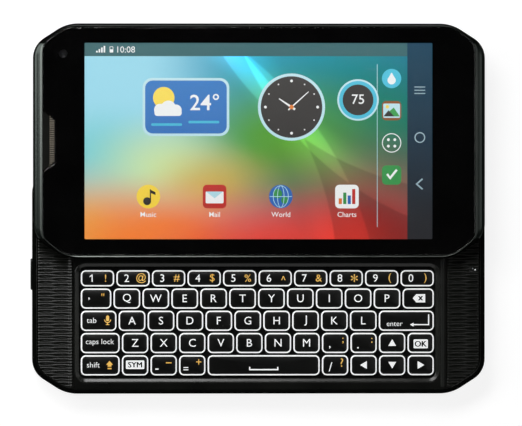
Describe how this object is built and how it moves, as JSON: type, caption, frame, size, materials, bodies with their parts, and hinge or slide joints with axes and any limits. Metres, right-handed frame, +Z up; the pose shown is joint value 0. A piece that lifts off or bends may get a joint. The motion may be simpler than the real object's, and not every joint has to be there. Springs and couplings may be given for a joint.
{
  "type": "slider phone",
  "caption": "Black landscape slider phone, shown open: a touch-screen lid on rails above a QWERTY keyboard deck.",
  "frame": {"origin": "middle of the back cover's flat face, on which the phone lies", "axes": "+X to the right along the keyboard, +Y away from the typist towards the screen, +Z up out of the screen"},
  "size_m": [0.1274, 0.1036, 0.0137],
  "materials": {
    "soft_black": "soft-touch coated black plastic",
    "satin_black": "satin black moulded plastic",
    "rim_metal": "dark grey coated metal",
    "steel": "stamped sheet steel",
    "rubber": "matt black silicone",
    "board": "solder-masked circuit board",
    "battery_wrap": "foil pouch cell",
    "lens_glass": "black camera module with a glossy lens",
    "clear_lens": "frosted clear lens",
    "cable_film": "amber polyimide film",
    "screen": "lit colour display",
    "cover_glass": "polished glass with a black border printed behind it",
    "bronze_mesh": "fine bronze-grey mesh",
    "key_plastic": "black key cap with white and amber legends"
  },
  "bodies": {
    "base": {"rear_cover": "soft_black", "base_frame": "satin_black", "keyboard_deck": "satin_black", "slide_plate": "steel", "key_mat": "rubber", "keyboard_board": "board", "battery": "battery_wrap", "main_board": "board", "rear_camera": "lens_glass", "camera_bezel": "rim_metal", "flash_lens": "clear_lens", "loudspeaker": "satin_black", "headset_jack": "satin_black", "micro_usb_port": "steel", "micro_hdmi_port": "steel", "flex_cable": "cable_film", "slide_spring": "steel"},
    "lid": {"lid_frame": "rim_metal", "lid_back_plate": "steel", "display_panel": "screen", "cover_glass": "cover_glass", "earpiece_grille": "bronze_mesh", "earpiece_speaker": "satin_black", "front_camera": "lens_glass"},
    "power_button": {"power_button": "rim_metal"},
    "volume_rocker": {"volume_rocker": "rim_metal"},
    "camera_button": {"camera_button": "rim_metal"},
    "key_a": {"key_a": "key_plastic"},
    "key_b": {"key_b": "key_plastic"},
    "key_c": {"key_c": "key_plastic"},
    "key_d": {"key_d": "key_plastic"},
    "key_e": {"key_e": "key_plastic"},
    "key_f": {"key_f": "key_plastic"},
    "key_g": {"key_g": "key_plastic"},
    "key_h": {"key_h": "key_plastic"},
    "key_i": {"key_i": "key_plastic"},
    "key_j": {"key_j": "key_plastic"},
    "key_k": {"key_k": "key_plastic"},
    "key_l": {"key_l": "key_plastic"},
    "key_m": {"key_m": "key_plastic"},
    "key_n": {"key_n": "key_plastic"},
    "key_o": {"key_o": "key_plastic"},
    "key_p": {"key_p": "key_plastic"},
    "key_q": {"key_q": "key_plastic"},
    "key_r": {"key_r": "key_plastic"},
    "key_s": {"key_s": "key_plastic"},
    "key_t": {"key_t": "key_plastic"},
    "key_u": {"key_u": "key_plastic"},
    "key_v": {"key_v": "key_plastic"},
    "key_w": {"key_w": "key_plastic"},
    "key_x": {"key_x": "key_plastic"},
    "key_y": {"key_y": "key_plastic"},
    "key_z": {"key_z": "key_plastic"},
    "key_backspace": {"key_backspace": "key_plastic"},
    "key_enter": {"key_enter": "key_plastic"},
    "key_space": {"key_space": "key_plastic"},
    "number_keys": {"number_keys": "key_plastic"},
    "left_function_keys": {"left_function_keys": "key_plastic"},
    "symbol_keys": {"symbol_keys": "key_plastic"},
    "arrow_and_mark_keys": {"arrow_and_mark_keys": "key_plastic"}
  },
  "joints": [
    {"name": "lid_slide", "type": "slide", "parent": "base", "child": "lid", "axis": [0, -1, 0], "range_m": [0, 0.0377], "deforming": ["slide_spring", "flex_cable"]},
    {"name": "power_press", "type": "slide", "parent": "base", "child": "power_button", "axis": [1, 0, 0], "range_m": [0, 0.00025], "stiffness_N_per_m": 5000},
    {"name": "volume_tilt", "type": "hinge", "parent": "base", "child": "volume_rocker", "pos_m": [-0.03, 0.0314, 0.0035], "axis": [0, 0, 1], "range_deg": [-1.5, 1.5], "stiffness_Nm_per_rad": 0.8},
    {"name": "camera_press", "type": "slide", "parent": "base", "child": "camera_button", "axis": [0, -1, 0], "range_m": [0, 0.00025], "stiffness_N_per_m": 5000},
    {"name": "key_a_press", "type": "slide", "parent": "base", "child": "key_a", "axis": [0, 0, -1], "range_m": [0, 0.00025], "stiffness_N_per_m": 5000},
    {"name": "key_b_press", "type": "slide", "parent": "base", "child": "key_b", "axis": [0, 0, -1], "range_m": [0, 0.00025], "stiffness_N_per_m": 5000},
    {"name": "key_c_press", "type": "slide", "parent": "base", "child": "key_c", "axis": [0, 0, -1], "range_m": [0, 0.00025], "stiffness_N_per_m": 5000},
    {"name": "key_d_press", "type": "slide", "parent": "base", "child": "key_d", "axis": [0, 0, -1], "range_m": [0, 0.00025], "stiffness_N_per_m": 5000},
    {"name": "key_e_press", "type": "slide", "parent": "base", "child": "key_e", "axis": [0, 0, -1], "range_m": [0, 0.00025], "stiffness_N_per_m": 5000},
    {"name": "key_f_press", "type": "slide", "parent": "base", "child": "key_f", "axis": [0, 0, -1], "range_m": [0, 0.00025], "stiffness_N_per_m": 5000},
    {"name": "key_g_press", "type": "slide", "parent": "base", "child": "key_g", "axis": [0, 0, -1], "range_m": [0, 0.00025], "stiffness_N_per_m": 5000},
    {"name": "key_h_press", "type": "slide", "parent": "base", "child": "key_h", "axis": [0, 0, -1], "range_m": [0, 0.00025], "stiffness_N_per_m": 5000},
    {"name": "key_i_press", "type": "slide", "parent": "base", "child": "key_i", "axis": [0, 0, -1], "range_m": [0, 0.00025], "stiffness_N_per_m": 5000},
    {"name": "key_j_press", "type": "slide", "parent": "base", "child": "key_j", "axis": [0, 0, -1], "range_m": [0, 0.00025], "stiffness_N_per_m": 5000},
    {"name": "key_k_press", "type": "slide", "parent": "base", "child": "key_k", "axis": [0, 0, -1], "range_m": [0, 0.00025], "stiffness_N_per_m": 5000},
    {"name": "key_l_press", "type": "slide", "parent": "base", "child": "key_l", "axis": [0, 0, -1], "range_m": [0, 0.00025], "stiffness_N_per_m": 5000},
    {"name": "key_m_press", "type": "slide", "parent": "base", "child": "key_m", "axis": [0, 0, -1], "range_m": [0, 0.00025], "stiffness_N_per_m": 5000},
    {"name": "key_n_press", "type": "slide", "parent": "base", "child": "key_n", "axis": [0, 0, -1], "range_m": [0, 0.00025], "stiffness_N_per_m": 5000},
    {"name": "key_o_press", "type": "slide", "parent": "base", "child": "key_o", "axis": [0, 0, -1], "range_m": [0, 0.00025], "stiffness_N_per_m": 5000},
    {"name": "key_p_press", "type": "slide", "parent": "base", "child": "key_p", "axis": [0, 0, -1], "range_m": [0, 0.00025], "stiffness_N_per_m": 5000},
    {"name": "key_q_press", "type": "slide", "parent": "base", "child": "key_q", "axis": [0, 0, -1], "range_m": [0, 0.00025], "stiffness_N_per_m": 5000},
    {"name": "key_r_press", "type": "slide", "parent": "base", "child": "key_r", "axis": [0, 0, -1], "range_m": [0, 0.00025], "stiffness_N_per_m": 5000},
    {"name": "key_s_press", "type": "slide", "parent": "base", "child": "key_s", "axis": [0, 0, -1], "range_m": [0, 0.00025], "stiffness_N_per_m": 5000},
    {"name": "key_t_press", "type": "slide", "parent": "base", "child": "key_t", "axis": [0, 0, -1], "range_m": [0, 0.00025], "stiffness_N_per_m": 5000},
    {"name": "key_u_press", "type": "slide", "parent": "base", "child": "key_u", "axis": [0, 0, -1], "range_m": [0, 0.00025], "stiffness_N_per_m": 5000},
    {"name": "key_v_press", "type": "slide", "parent": "base", "child": "key_v", "axis": [0, 0, -1], "range_m": [0, 0.00025], "stiffness_N_per_m": 5000},
    {"name": "key_w_press", "type": "slide", "parent": "base", "child": "key_w", "axis": [0, 0, -1], "range_m": [0, 0.00025], "stiffness_N_per_m": 5000},
    {"name": "key_x_press", "type": "slide", "parent": "base", "child": "key_x", "axis": [0, 0, -1], "range_m": [0, 0.00025], "stiffness_N_per_m": 5000},
    {"name": "key_y_press", "type": "slide", "parent": "base", "child": "key_y", "axis": [0, 0, -1], "range_m": [0, 0.00025], "stiffness_N_per_m": 5000},
    {"name": "key_z_press", "type": "slide", "parent": "base", "child": "key_z", "axis": [0, 0, -1], "range_m": [0, 0.00025], "stiffness_N_per_m": 5000},
    {"name": "key_backspace_press", "type": "slide", "parent": "base", "child": "key_backspace", "axis": [0, 0, -1], "range_m": [0, 0.00025], "stiffness_N_per_m": 5000},
    {"name": "key_enter_press", "type": "slide", "parent": "base", "child": "key_enter", "axis": [0, 0, -1], "range_m": [0, 0.00025], "stiffness_N_per_m": 5000},
    {"name": "key_space_press", "type": "slide", "parent": "base", "child": "key_space", "axis": [0, 0, -1], "range_m": [0, 0.00025], "stiffness_N_per_m": 5000},
    {"name": "number_keys_press", "type": "slide", "parent": "base", "child": "number_keys", "axis": [0, 0, -1], "range_m": [0, 0.00025], "stiffness_N_per_m": 5000},
    {"name": "left_function_keys_press", "type": "slide", "parent": "base", "child": "left_function_keys", "axis": [0, 0, -1], "range_m": [0, 0.00025], "stiffness_N_per_m": 5000},
    {"name": "symbol_keys_press", "type": "slide", "parent": "base", "child": "symbol_keys", "axis": [0, 0, -1], "range_m": [0, 0.00025], "stiffness_N_per_m": 5000},
    {"name": "arrow_and_mark_keys_press", "type": "slide", "parent": "base", "child": "arrow_and_mark_keys", "axis": [0, 0, -1], "range_m": [0, 0.00025], "stiffness_N_per_m": 5000}
  ]
}
